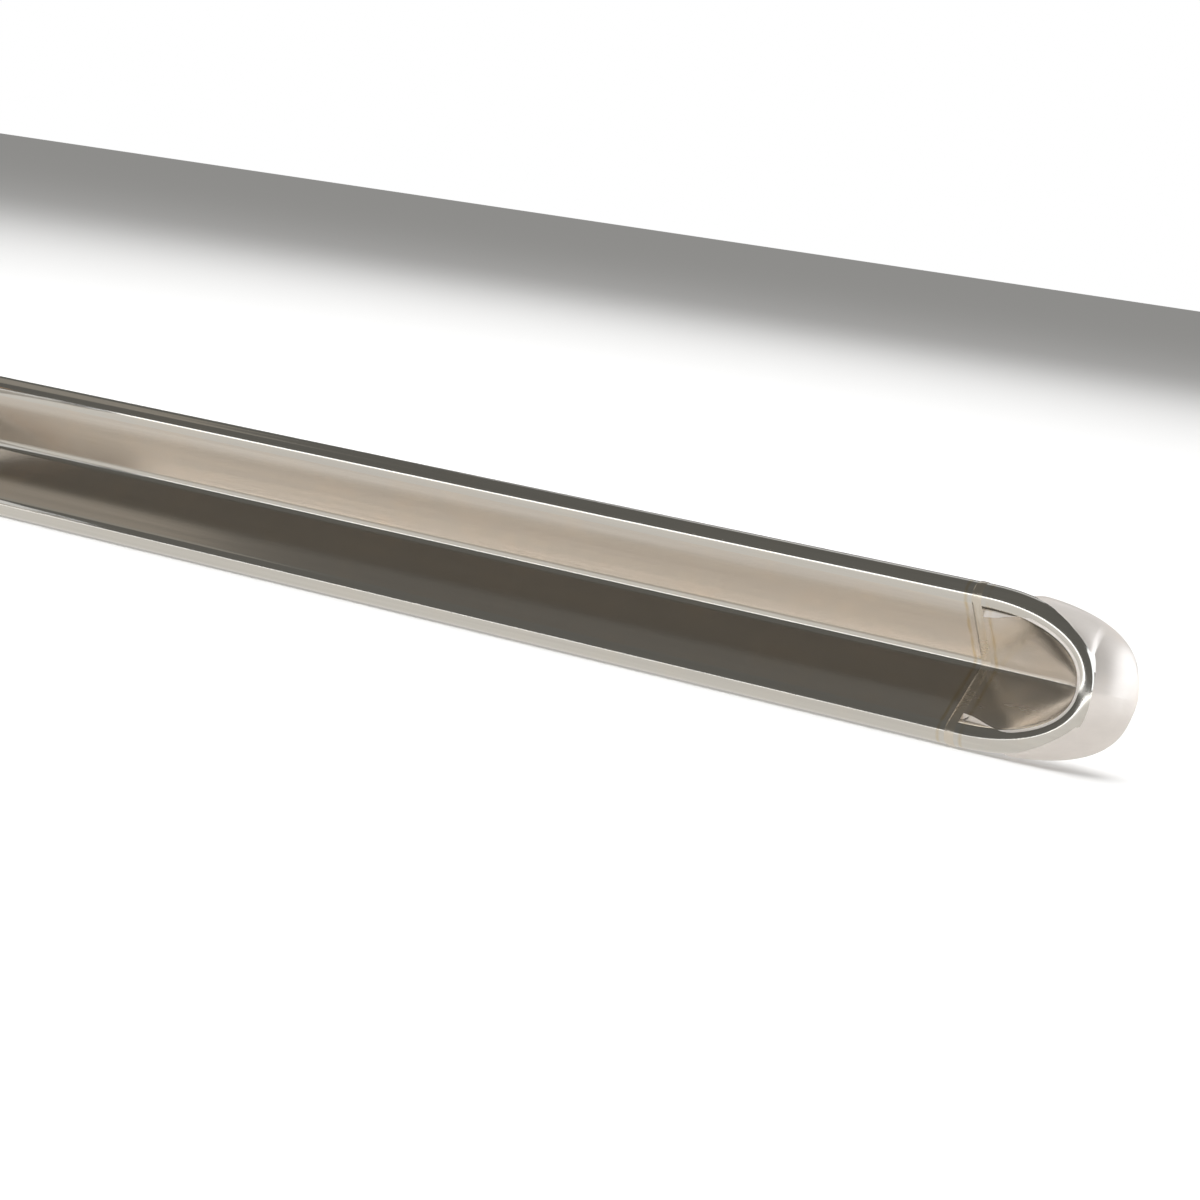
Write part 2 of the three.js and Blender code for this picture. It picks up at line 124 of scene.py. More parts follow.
camera_data = bpy.data.cameras.new("camera")
camera = bpy.data.objects.new("camera", camera_data)
bpy.context.collection.objects.link(camera)
to_room = TOOL.to_3x3().normalized()
right = (to_room @ CAMERA_RIGHT).normalized()
back = (to_room @ -CAMERA_FORWARD).normalized()
up = back.cross(right).normalized()
camera_place = TOOL @ (CAMERA_FROM_WELD + Vector((WELD_X, 0, 0)))
camera_turn = Matrix((right, up, back)).transposed().to_4x4()
camera.matrix_world = Matrix.Translation(camera_place) @ camera_turn
camera_data.sensor_width = SENSOR
camera_data.lens = LENS
camera_data.clip_start = 0.01
camera_data.dof.use_dof = False
bpy.context.scene.camera = camera
print("camera height", round(camera.location.z, 3), "lens", round(camera_data.lens, 1))

# %% [markdown]
# ## Shader maths as expressions
# Node graphs are long to write by hand. This class wraps one node socket, so that `1 - mask * 0.4` adds
# the Math nodes itself, and one method makes any other node from its type, its settings and its inputs.


# %% A socket that can be written in sums
class Wire:
    def __init__(self, tree, socket):
        self.tree = tree
        self.socket = socket

    def maths(self, operation, *values):
        return Bench(self.tree).node("ShaderNodeMath", {"operation": operation}, *values)

    def __add__(self, other):
        return self.maths("ADD", self, other)

    def __radd__(self, other):
        return self.maths("ADD", other, self)

    def __sub__(self, other):
        return self.maths("SUBTRACT", self, other)

    def __rsub__(self, other):
        return self.maths("SUBTRACT", other, self)

    def __mul__(self, other):
        return self.maths("MULTIPLY", self, other)

    def __truediv__(self, other):
        return self.maths("DIVIDE", self, other)

    def clamp(self):
        return self.maths("MAXIMUM", self.maths("MINIMUM", self, 1.0), 0.0)

    def size(self):
        return self.maths("ABSOLUTE", self)


class Bench:
    def __init__(self, tree):
        self.tree = tree

    def node(self, kind, settings=None, *values, **named):
        node = self.tree.nodes.new(kind)
        for key, value in (settings or {}).items():
            setattr(node, key, value)
        open_inputs = [socket for socket in node.inputs if socket.enabled]
        pairs = list(zip(open_inputs, values))
        for name, value in named.items():
            pairs.append((next(s for s in open_inputs if s.name == name.replace("_", " ")), value))
        for socket, value in pairs:
            if isinstance(value, Wire):
                self.tree.links.new(value.socket, socket)
            elif value is not None:
                socket.default_value = value
        outputs = [socket for socket in node.outputs if socket.enabled]
        return Wire(self.tree, outputs[0]) if outputs else node

    def place(self):
        node = self.tree.nodes.new("ShaderNodeTexCoord")
        return Wire(self.tree, node.outputs["Object"])

    def stretched(self, along, across):
        scales = (along, across, across)
        return self.node("ShaderNodeVectorMath", {"operation": "MULTIPLY"}, self.place(), scales)

    def noise(self, vector, scale=1.0, detail=4.0, roughness=0.55):
        wanted = {"Vector": vector, "Scale": scale, "Detail": detail, "Roughness": roughness}
        return self.node("ShaderNodeTexNoise", None, **wanted)

    def blend(self, factor, first, second):
        return self.node("ShaderNodeMix", {"data_type": "RGBA"}, factor, first, second)

    def ramp(self, factor, low, high):
        """0 below low, 1 above high, smooth between."""
        kind = {"interpolation_type": "SMOOTHSTEP"}
        return self.node("ShaderNodeMapRange", kind, factor, low, high, 0.0, 1.0)


def colour(red, green, blue):
    return (red, green, blue, 1.0)


def new_finish(name):
    material = bpy.data.materials.new(name)
    material.use_nodes = True
    material.node_tree.nodes.clear()
    return material, Bench(material.node_tree)


def close_finish(bench, base, roughness, metallic, normal, **constants):
    wanted = {"Base_Color": base, "Roughness": roughness, "Metallic": metallic, "Normal": normal}
    shader = bench.node("ShaderNodeBsdfPrincipled", None, **wanted, **constants)
    bench.node("ShaderNodeOutputMaterial", None, Surface=shader)


# %% [markdown]
# ## Drawn stainless sheet
# The channel is pressed from sheet that was polished in long strokes. Along the tool the marks are long
# and faint, across it they are fine, so one noise is stretched forty times and more along x. The same
# noise shifts the colour a little, roughens the surface and lifts a very shallow bump. The heat of a weld
# leaves a thin straw-coloured line on each side of it, placed by the distance to the weld along x. The
# hull was ground matt, and a matt grey under the metal's shine stands in for its coarse scratches.

# %% Steel finishes
WELD_HALF = 0.8
STRAW = colour(0.60, 0.49, 0.30)
TINT_FROM_WELD = 1.9 * MM
TINT_WIDTH = 0.45 * MM
TINT_WAVER = 0.5 * MM
WARM_SHIFT = (1.06, 1.0, 0.93)
DRAWN_DARK = 0.86
STEEL_BUMP = 0.03 * MM


def heat_tint(bench, place_x):
    """Two thin straw lines, one on each side of each weld, wavering along their length."""
    waver = (bench.noise(bench.place(), 320.0, 2.0) - 0.5) * TINT_WAVER
    from_weld = (place_x.size() - WELD_X * MM + waver).size()
    near = 1 - ((from_weld - TINT_FROM_WELD).size() / TINT_WIDTH).clamp()
    patchy = bench.ramp(bench.noise(bench.place(), 420.0, 3.0), 0.25, 0.6)
    return near * patchy


def steel(name, base, rough, rough_spread, lines, tint=0.0, mottle=0.0, bump=1.0, metal=1.0):
    material, bench = new_finish(name)
    place = bench.place()
    axes = bench.node("ShaderNodeSeparateXYZ", None, place)
    long_marks = bench.noise(bench.stretched(9, 700), 1.0, 5.0, 0.6)
    fine_marks = bench.noise(bench.stretched(70, 5200), 1.0, 3.0, 0.6)
    clouds = bench.noise(place, 90.0, 4.0, 0.6)
    dark = colour(*(share * DRAWN_DARK for share in base))
    warm = colour(*(share * shift for share, shift in zip(base, WARM_SHIFT)))
    tone = bench.blend(bench.ramp(long_marks, 0.3, 0.7) * lines, colour(*base), dark)
    tone = bench.blend(bench.ramp(clouds, 0.45, 0.75) * (0.25 + mottle), tone, warm)
    if tint:
        tone = bench.blend(heat_tint(bench, axes) * tint, tone, STRAW)
    roughness = (long_marks - 0.5) * rough_spread + (fine_marks - 0.5) * rough_spread * 0.6
    roughness = (roughness + (clouds - 0.5) * mottle * 0.3 + rough).clamp()
    height = long_marks * (0.35 * lines) + fine_marks * (0.25 * lines) + clouds * mottle
    normal = bench.node("ShaderNodeBump", None, Strength=0.35 * bump, Distance=STEEL_BUMP, Height=height)
    close_finish(bench, tone, roughness, metal, normal)
    return material


HULL_BASE = (0.80, 0.755, 0.72)
FINISHES = {
    "sheet": steel("sheet_satin", (0.70, 0.655, 0.60), 0.14, 0.08, 0.6, tint=0.8, mottle=0.1),
    "rim": steel("rim_polished", (0.68, 0.665, 0.63), 0.12, 0.07, 0.5, tint=0.5, mottle=0.05),
    "bowl": steel("bowl_pressed", (0.70, 0.655, 0.60), 0.24, 0.10, 0.3, tint=0.8, mottle=0.5),
    "hull": steel("hull_ground", HULL_BASE, 0.42, 0.12, 0.25, tint=0.2, mottle=0.6, metal=0.6),
    "weld": steel("weld_dressed", (0.70, 0.65, 0.575), 0.24, 0.12, 0.2, mottle=0.9, bump=2.0),
    "fitting": steel("fitting_brushed", (0.60, 0.585, 0.565), 0.32, 0.14, 0.9, mottle=0.1),
    "ferrule": steel("ferrule_polished", (0.66, 0.64, 0.62), 0.18, 0.10, 0.5, mottle=0.05),
    "fastener": steel("fastener_bright", (0.64, 0.64, 0.64), 0.25, 0.10, 0.2, mottle=0.3),
}
print("steel finishes:", ", ".join(sorted(FINISHES)))

# %% [markdown]
# ## Lacquered beech
# The grip is turned from beech, so its grain runs along x. Beech is known by short dark flecks on a plain
# pinkish ground, with faint growth bands. The bands are rings about a centre line that lies off the
# grip's own axis, bent by a slow noise, and a thin lacquer is the shader's coat.

# %% Wood finish
PITH_OFFSET = 35 * MM
RING_SQUASH = (0.03, 1.0, 1.0)
RING_RADIANS_PER_METRE = 2600
RING_BEND = 9
WOOD_BUMP = 0.08 * MM
BEECH = colour(0.60, 0.36, 0.19)
LATE_BAND = colour(0.47, 0.26, 0.125)
GRAIN_LINE = colour(0.36, 0.19, 0.085)
RAY_FLECK = colour(0.20, 0.095, 0.04)
HANDLED = colour(0.30, 0.17, 0.09)


def beech():
    material, bench = new_finish("grip_beech")
    bend = bench.noise(bench.stretched(4, 30), 1.0, 3.0)
    pith = tuple(grip_middle + Vector((0, PITH_OFFSET, PITH_OFFSET)))
    from_pith = bench.node("ShaderNodeVectorMath", {"operation": "SUBTRACT"}, bench.place(), pith)
    flat = bench.node("ShaderNodeVectorMath", {"operation": "MULTIPLY"}, from_pith, RING_SQUASH)
    out_from_pith = bench.node("ShaderNodeVectorMath", {"operation": "LENGTH"}, flat)
    rings = out_from_pith * RING_RADIANS_PER_METRE + bend * RING_BEND
    band = rings.maths("SINE", rings) * 0.5 + 0.5
    flecks = bench.ramp(bench.noise(bench.stretched(420, 3600), 1.0, 2.0), 0.62, 0.72)
    grain = bench.noise(bench.stretched(24, 900), 1.0, 5.0, 0.65)
    tone = bench.blend(band * 0.45, BEECH, LATE_BAND)
    tone = bench.blend(bench.ramp(grain, 0.35, 0.75) * 0.55, tone, GRAIN_LINE)
    tone = bench.blend(flecks * 0.55, tone, RAY_FLECK)
    handled = bench.noise(bench.place(), 45.0, 3.0)
    tone = bench.blend(bench.ramp(handled, 0.5, 0.8) * 0.25, tone, HANDLED)
    roughness = (0.42 + (handled - 0.5) * 0.25 + flecks * 0.15).clamp()
    height = grain * 0.5 - flecks * 0.6
    normal = bench.node("ShaderNodeBump", None, Strength=0.4, Distance=WOOD_BUMP, Height=height)
    close_finish(bench, tone, roughness, 0.0, normal, Coat_Weight=0.35, Coat_Roughness=0.2)
    return material


FINISHES["wood"] = beech()
print("wood finish:", FINISHES["wood"].name)

# %% [markdown]
# ## Meshes from rings
# Nearly every piece is a stack of closed rings: a section carried along x, or a section carried round
# the nose. One function joins rings of equal count with quads and closes both ends, in the tool's own
# axes, then moves the result into the room. A half turn about z makes the rear copy of a front piece.

# %% Ring meshes
HALF_TURN = Matrix.Rotation(math.pi, 4, "Z")


def new_piece(name, mesh, finishes):
    piece = bpy.data.objects.new(name, mesh)
    bpy.context.collection.objects.link(piece)
    for finish in finishes:
        mesh.materials.append(FINISHES[finish])
    return piece


def smooth_shading(mesh, sharp_degrees=32):
    for polygon in mesh.polygons:
        polygon.use_smooth = True
    mesh.set_sharp_from_angle(angle=math.radians(sharp_degrees))


def ring_mesh(name, rings, matrix, looped=False, slot_of=None):
    count = len(rings[0])
    built = bmesh.new()
    rows = [[built.verts.new(matrix @ Vector(point)) for point in ring] for ring in rings]
    if not looped:
        for ring, order in ((rows[0], -1), (rows[-1], 1)):
            built.faces.new(ring[::order])
    pairs = list(zip(rows, rows[1:])) + ([(rows[-1], rows[0])] if looped else [])
    for row, (first, second) in enumerate(pairs):
        for i in range(count):
            j = (i + 1) % count
            face = built.faces.new((first[i], first[j], second[j], second[i]))
            if slot_of:
                face.material_index = slot_of(row, i)
    bmesh.ops.recalc_face_normals(built, faces=built.faces)
    mesh = bpy.data.meshes.new(name)
    built.to_mesh(mesh)
    built.free()
    return mesh


def arc(y, z, radius, start, stop, steps):
    angles = [start + (stop - start) * i / steps for i in range(steps + 1)]
    return [(y + radius * math.cos(a), z + radius * math.sin(a)) for a in angles]


def mirrored(half):
    """A right-hand half outline that starts and ends on the axis, closed by its mirror image."""
    return half + [(-y, z) for y, z in half[-2:0:-1]]


# %% [markdown]
# ## The channel
# The press bends the sheet into a V with a small round at the bottom, and a roll forms a round bead along
# each edge, turned outward and level with the sheet's inner face. A small fillet fills the corner below
# each bead. The section is drawn once as an outline and stretched from weld to weld. The beads and the
# bend were polished by the rollers, while the flat legs kept a satin skin, so the faces of the outline
# take two finishes.

# %% Channel section and channel
LEG_ANGLE = math.pi / 2 - V_HALF_ANGLE
VALLEY_CENTRE_Z = VALLEY_RADIUS / SIN_V
VALLEY_Z = VALLEY_CENTRE_Z - VALLEY_RADIUS
KEEL_Z = -SHEET / SIN_V
KEEL_ROUND_Z = VALLEY_Z - SHEET
ROOT_RUN = 0.3
ROOT_TURN = math.radians(20)
BEND_STEPS = 14
RIM_STEPS = 44
SHEET_SLOT, RIM_SLOT = 0, 1


def channel_section(extra=0.0):
    rim = RIM_RADIUS + extra
    skin = SHEET + extra
    run = RIM_Y * SIN_V + RIM_Z * COS_V - rim - ROOT_RUN
    square = LEG_ANGLE - math.pi / 2
    return mirrored(
        arc(0, VALLEY_CENTRE_Z, VALLEY_RADIUS + SHEET + extra, -math.pi / 2, square, BEND_STEPS)
        + [(run * SIN_V + skin * COS_V, run * COS_V - skin * SIN_V)]
        + arc(RIM_Y, RIM_Z, rim, square - math.pi / 2 + ROOT_TURN, square + math.pi, RIM_STEPS)
        + arc(0, VALLEY_CENTRE_Z, VALLEY_RADIUS - extra, square, -math.pi / 2, BEND_STEPS)
    )


HALF_COUNT = 2 * (BEND_STEPS + 1) + RIM_STEPS + 1
LEG_EDGES = (BEND_STEPS, BEND_STEPS + 2 + RIM_STEPS)


def section_slot(row, i):
    edge = i if i <= HALF_COUNT - 1 else len(channel_section()) - 1 - i
    return SHEET_SLOT if edge in LEG_EDGES else RIM_SLOT


channel_half = WELD_X - WELD_HALF
section = channel_section()
channel_rings = [[(x, y, z) for y, z in section] for x in (-channel_half, channel_half)]
channel_mesh = ring_mesh("runner_channel_steel", channel_rings, TOOL, slot_of=section_slot)
smooth_shading(channel_mesh)
channel = new_piece("runner_channel_steel", channel_mesh, ("sheet", "rim"))
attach(channel, "root")
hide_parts("runner_channel")
print("channel", round(2 * channel_half, 1), "mm long,", len(section), "points round its section")

# %% [markdown]
# ## The nose
# Each end is closed by a small pressed bowl. Outside, it is a blunt boat: the V fills out into a round
# belly, and the keel stays as a faint ridge that climbs to the rim. Inside, the V runs on and fades into
# a round bowl. The rolled rim goes round the end in one plane, set back from the hull's foremost point.
# Hull and bowl are rings with superellipse outlines, and the rim is a bent rod. Their creases come later,
# when the parts are cut and joined.

# %% Nose sizes and outlines
NOSE_TIP_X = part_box("front_nose_cap")[1][0] / MM
CAP_START_X = WELD_X + WELD_HALF
CAP_LENGTH = NOSE_TIP_X - CAP_START_X
RIM_SETBACK = 6.4
HULL_SQUARENESS = 2.7
RIM_SQUARENESS = 2.2
SHOULDER_DROP = 2.5
SHOULDER_RUN = 12
SHOULDER_STEP = 0.25
FLARE_RUN = 9
BELLY_START = 6
BELLY_RUN = 12
BELLY_FULLNESS = 0.7
BELLY_POWER = 2.4
PROW_SQUARENESS = 3
BOWL_SQUARENESS = 3
NOSE_STEPS = 56
NOSE_ARC_END = 0.99
BELLY_STEPS = 30
SHOULDER_STEPS = 8
RIM_TIP = CAP_LENGTH - RIM_SETBACK
HULL_START_WIDTH = (RIM_Z - KEEL_Z) * math.tan(V_HALF_ANGLE)
HULL_HALF_WIDTH = CHANNEL_WIDTH / 2
BOWL_TIP = RIM_TIP - (RIM_Y - LIP_Y)
CUT_MARGIN = 1


def superellipse(share, power):
    return max(1 - share**power, 0) ** (1 / power)


def smoothstep(share):
    share = min(max(share, 0), 1)
    return share * share * (3 - 2 * share)


def stations(length, power):
    turns = [NOSE_ARC_END * math.pi / 2 * i / NOSE_STEPS for i in range(NOSE_STEPS + 1)]
    return [length * math.sin(turn) ** (2 / power) for turn in turns]


def underside(x, half_width, keel_z, edge_z, round_off):
    fullness = BELLY_FULLNESS * smoothstep((x - BELLY_START) / BELLY_RUN)
    crest = math.hypot(half_width, round_off) - round_off
    ring = []
    for i in range(2 * BELLY_STEPS + 1):
        t = i / BELLY_STEPS - 1
        vee = (math.hypot(t * half_width, round_off) - round_off) / crest
        rise = vee * (1 - fullness) + abs(t) ** BELLY_POWER * fullness
        ring.append((x, t * half_width, keel_z + (edge_z - keel_z) * rise))
    return ring


def hull_ring(x):
    share = x / CAP_LENGTH
    flare = smoothstep(x / FLARE_RUN)
    full_width = HULL_START_WIDTH + (HULL_HALF_WIDTH - HULL_START_WIDTH) * flare
    half_width = full_width * superellipse(share, HULL_SQUARENESS)
    rim_y = min(RIM_Y * superellipse(min(x / RIM_TIP, 1), RIM_SQUARENESS), half_width)
    edge_z = RIM_Z - SHOULDER_DROP * smoothstep(x / SHOULDER_RUN)
    shoulder_z = RIM_Z + (RIM_RADIUS - SHOULDER_STEP) * flare
    top_z = edge_z + (shoulder_z - edge_z) * superellipse(max(x - RIM_TIP, 0) / RIM_SETBACK, 2)
    keel_z = edge_z - (edge_z - KEEL_ROUND_Z) * superellipse(share, PROW_SQUARENESS)
    ring = underside(x, half_width, keel_z, edge_z, (KEEL_ROUND_Z - KEEL_Z) * math.tan(V_HALF_ANGLE))
    shoulder = arc(0, 0, 1, 0, math.pi / 2, SHOULDER_STEPS)[1:]
    right = [(x, rim_y + (half_width - rim_y) * a, edge_z + (top_z - edge_z) * b) for a, b in shoulder]
    return ring + right + [(x, -y, z) for x, y, z in right[::-1]]


def bowl_ring(x):
    share = max(x, 0) / BOWL_TIP
    half_width = LIP_Y * superellipse(share, RIM_SQUARENESS)
    keel_z = LIP_Z - (LIP_Z - VALLEY_Z) * superellipse(share, BOWL_SQUARENESS)
    top = RIM_TOP + CUT_MARGIN
    ring = underside(x, half_width, keel_z, LIP_Z, VALLEY_Z * math.tan(V_HALF_ANGLE))
    return ring + [(x, half_width, top), (x, -half_width, top)]


def rim_rings():
    steps = 2 * NOSE_STEPS
    path = []
    for i in range(steps + 1):
        angle = math.pi * i / steps
        cosine = math.cos(angle)
        across = math.copysign(abs(cosine) ** (2 / RIM_SQUARENESS), cosine)
        along = abs(math.sin(angle)) ** (2 / RIM_SQUARENESS)
        path.append(Vector((RIM_TIP * along, RIM_Y * across)))
    rings = []
    for i, here in enumerate(path):
        if i in (0, steps):
            out = Vector((0, math.copysign(1, here.y)))
        else:
            run = (path[i + 1] - path[i - 1]).normalized()
            out = Vector((-run.y, run.x))
        bead = arc(0, 0, RIM_RADIUS, 0, 2 * math.pi, RIM_STEPS)[1:]
        rings.append([(here.x + out.x * a, here.y + out.y * a, RIM_Z + b) for a, b in bead])
    return rings


# %% [markdown]
# ## Cutting and joining the nose
# The three parts of the nose are separate closed meshes first, each with its own finish slot, so that the
# boolean carries the right finish on to every face it keeps. Both ends are copies of one result.

# %% Nose meshes
HULL_SLOT, BOWL_SLOT, NOSE_RIM_SLOT = 0, 1, 2
NOSE_FINISHES = ("hull", "bowl", "rim")


def boolean(target, tool, operation):
    modifier = target.modifiers.new(operation.lower(), "BOOLEAN")
    modifier.object = tool
    modifier.operation = operation
    modifier.solver = "EXACT"
    depsgraph = bpy.context.evaluated_depsgraph_get()
    result = bpy.data.meshes.new_from_object(target.evaluated_get(depsgraph))
    target.modifiers.clear()
    target.data = result
    bpy.data.objects.remove(tool)


def solid_part(name, rings, slot):
    mesh = ring_mesh(name, rings, Matrix.Identity(4))
    for polygon in mesh.polygons:
        polygon.material_index = slot
    return new_piece(name, mesh, NOSE_FINISHES)


def nose_mesh():
    hull = solid_part("hull", [hull_ring(x) for x in stations(CAP_LENGTH, HULL_SQUARENESS)], HULL_SLOT)
    bowl_stations = [-CUT_MARGIN] + stations(BOWL_TIP, RIM_SQUARENESS)
    boolean(hull, solid_part("bowl", [bowl_ring(x) for x in bowl_stations], BOWL_SLOT), "DIFFERENCE")
    boolean(hull, solid_part("bead", rim_rings(), NOSE_RIM_SLOT), "UNION")
    mesh = hull.data
    bpy.data.objects.remove(hull)
    return mesh


nose = nose_mesh()
to_front = TOOL @ Matrix.Translation((CAP_START_X, 0, 0))
to_rear = TOOL @ HALF_TURN @ Matrix.Translation((CAP_START_X, 0, 0))
for end, matrix in (("front", to_front), ("rear", to_rear)):
    mesh = nose.copy()
    mesh.transform(matrix)
    smooth_shading(mesh)
    cap = bpy.data.objects.new(f"{end}_nose_shell", mesh)
    bpy.context.collection.objects.link(cap)
    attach(cap, "root")
    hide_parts(f"{end}_nose_cap")
print("nose", round(CAP_LENGTH, 1), "mm long,", len(nose.polygons), "faces")

# %% [markdown]
# ## The nose welds
# A thin butt weld joins each nose to the channel. It was dressed almost flush, so only a low crown with
# faint ripples is left. It is the channel's own section again, grown by a height that rises to the
# middle of the weld, with a slow wave across its width that stands for the ripples.

# %% Nose welds
WELD_STAND = 0.12
WELD_DRESSED = 0.75
WELD_ROWS = 10
RIPPLE = 0.0025
RIPPLE_ROUND = 1.9
RIPPLE_ACROSS = 0.7
WELD_SHARP_DEGREES = 60


def weld_rings():
    rings = []
    for row in range(WELD_ROWS + 1):
        share = 2 * row / WELD_ROWS - 1
        crown = WELD_STAND * math.sqrt(max(1 - share * share, 0))
        x = WELD_X + WELD_HALF * share
        shaken = []
        inside = 0 < row < WELD_ROWS
        for i, (y, z) in enumerate(channel_section(crown * WELD_DRESSED)):
            ripple = 1 + RIPPLE * math.sin(i * RIPPLE_ROUND + row * RIPPLE_ACROSS) * inside
            shaken.append((x, y * ripple, z))
        rings.append(shaken)
    return rings


for end, matrix in (("front", TOOL), ("rear", TOOL @ HALF_TURN)):
    mesh = ring_mesh(f"{end}_nose_weld_bead", weld_rings(), matrix)
    smooth_shading(mesh, WELD_SHARP_DEGREES)
    weld = new_piece(f"{end}_nose_weld_bead", mesh, ("weld",))
    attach(weld, "root")
    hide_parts(f"{end}_nose_weld")
print("nose welds", 2 * WELD_HALF, "mm wide")

# %% [markdown]
# ## Flat fittings with broken edges
# The posts and saddles are cut and bent strip, and the fillets are weld metal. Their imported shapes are
# right but their edges are razor sharp, which never happens on a real tool. Each is copied, its flat
# faces are joined up, and a small bevel breaks its edges.


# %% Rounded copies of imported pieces
WELD_DISTANCE = 2e-6
FLAT = math.radians(2)
SHARP = math.radians(25)
BREAK_STEPS = 3
BREAK_SHARP_DEGREES = 40


def rounded_copy(node, name, width, finish):
    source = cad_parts[node]
    built = bmesh.new()
    built.from_mesh(source.data)
    built.transform(source.matrix_world)
    bmesh.ops.remove_doubles(built, verts=built.verts, dist=WELD_DISTANCE)
    bmesh.ops.dissolve_limit(built, angle_limit=FLAT, verts=built.verts, edges=built.edges)
    sharp = [edge for edge in built.edges if edge.calc_face_angle(0) > SHARP]
    bmesh.ops.bevel(
        built,
        geom=sharp,
        offset=width * MM,
        segments=BREAK_STEPS,
        profile=0.5,
        affect="EDGES",
        clamp_overlap=True,
    )
    mesh = bpy.data.meshes.new(name)
    built.to_mesh(mesh)
    built.free()
    smooth_shading(mesh, BREAK_SHARP_DEGREES)
    piece = new_piece(name, mesh, (finish,))
    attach(piece, "root")
    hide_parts(node)


EDGE_BREAK = 0.35
FILLET_BREAK = 0.5
for end in ("front", "rear"):
    rounded_copy(f"{end}_post", f"{end}_post_plate", EDGE_BREAK, "fitting")
    rounded_copy(f"{end}_saddle", f"{end}_saddle_strip", EDGE_BREAK, "fitting")
    for place in ("saddle_weld_inner", "saddle_weld_outer", "post_weld_inner", "post_weld_outer"):
        rounded_copy(f"{end}_{place}", f"{end}_{place}_bead", FILLET_BREAK, "weld")
print("posts, saddles and fillets rounded")

# %% [markdown]
# ## Turned pieces
# The grip, ferrules, washers and bolt are all lathe work, so each is a short profile of distance along
# the grip and radius, spun about the grip's axis. Corners in a profile get a small round of their own.

# %% Spun pieces
SPIN_STEPS = 96
CORNER_POINTS = 4
MOST_CUT = 0.45
SPUN_MERGE = 1e-6
GRIP_AXIS = TOOL @ Matrix.Translation((0, 0, GRIP_Z))


def softened(profile, radius):
    """Cuts each corner of a closed profile back and bridges it with a short curve of four points."""
    soft = []
    count = len(profile)
    for i, point in enumerate(profile):
        here = Vector(point)
        before = Vector(profile[i - 1])
        after = Vector(profile[(i + 1) % count])
        cut = min(radius, (before - here).length * MOST_CUT, (after - here).length * MOST_CUT)
        start = here + (before - here).normalized() * cut
        stop = here + (after - here).normalized() * cut
        for step in range(CORNER_POINTS):
            t = step / (CORNER_POINTS - 1)
            soft.append(tuple(start * (1 - t) ** 2 + here * 2 * t * (1 - t) + stop * t**2))
    return soft


def spun(name, node, profile, finish, flip=False):
    rings = []
    for step in range(SPIN_STEPS):
        angle = 2 * math.pi * step / SPIN_STEPS
        side = -1 if flip else 1
        rings.append([(side * x, r * math.cos(angle), r * math.sin(angle)) for x, r in profile])
    mesh = ring_mesh(name, rings, GRIP_AXIS, looped=True)
    built = bmesh.new()
    built.from_mesh(mesh)
    bmesh.ops.remove_doubles(built, verts=built.verts, dist=SPUN_MERGE)
    bmesh.ops.recalc_face_normals(built, faces=built.faces)
    built.to_mesh(mesh)
    built.free()
    smooth_shading(mesh)
    piece = new_piece(name, mesh, (finish,))
    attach(piece, "root")
    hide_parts(node)
    return piece


# %% [markdown]
# ## The grip
# The grip swells from its ferrules to a belly and is turned down at both ends to enter them. Its bore
# takes the through bolt. Every corner keeps the small round a lathe hand leaves with abrasive paper.


# %% Grip and ferrules
def span(node):
    low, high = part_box(node)
    return low[0] / MM, high[0] / MM


GRIP_END_RADIUS = 12.5
FERRULE_WALL = 0.8
BORE_CLEARANCE = 0.3
ROD_RADIUS = 3
GRIP_BORE_RADIUS = ROD_RADIUS + BORE_CLEARANCE
SWELL_POWER = 0.8
SWELL_STEPS = 72
FLOOR_RELIEF = 0.05
GRIP_ROUND = 0.5
FERRULE_ROUND = 0.7
grip_half = span("grip")[1]
ferrule_mouth, ferrule_face = span("front_ferrule")
SPIGOT_RADIUS = GRIP_END_RADIUS - FERRULE_WALL - BORE_CLEARANCE
body_half = ferrule_mouth - BORE_CLEARANCE


def grip_profile():
    profile = [(-grip_half, GRIP_BORE_RADIUS), (-grip_half, SPIGOT_RADIUS), (-body_half, SPIGOT_RADIUS)]
    swell_size = GRIP_BELLY_RADIUS - GRIP_END_RADIUS - FLOOR_RELIEF
    for i in range(SWELL_STEPS + 1):
        share = i / SWELL_STEPS
        swell = math.sin(math.pi * share) ** SWELL_POWER
        profile.append((body_half * (2 * share - 1), GRIP_END_RADIUS + swell_size * swell))
    return profile + [(body_half, SPIGOT_RADIUS), (grip_half, SPIGOT_RADIUS), (grip_half, GRIP_BORE_RADIUS)]


def ferrule_profile():
    wall = GRIP_END_RADIUS - FERRULE_WALL
    floor = ferrule_face - FERRULE_WALL
    return [
        (ferrule_mouth, wall), (ferrule_mouth, GRIP_END_RADIUS), (ferrule_face, GRIP_END_RADIUS),
        (ferrule_face, GRIP_BORE_RADIUS), (floor, GRIP_BORE_RADIUS), (floor, wall),
    ]


spun("grip_turned", "grip", softened(grip_profile(), GRIP_ROUND), "wood")
for end, flip in (("front", False), ("rear", True)):
    shape = softened(ferrule_profile(), FERRULE_ROUND)
    spun(f"{end}_ferrule_cup", f"{end}_ferrule", shape, "ferrule", flip)
print("grip", round(2 * grip_half, 1), "mm long, ferrules", round(ferrule_face - ferrule_mouth, 1), "mm")

# %% [markdown]
# ## Bolt, washers and nut
# One long bolt clamps the whole handle. Its round head has a hexagon socket, the plain washers sit under
# head and nut, and a split ring keeps the dome nut from working loose. The nut's corners are chamfered,
# because a nut is turned from hexagon bar.

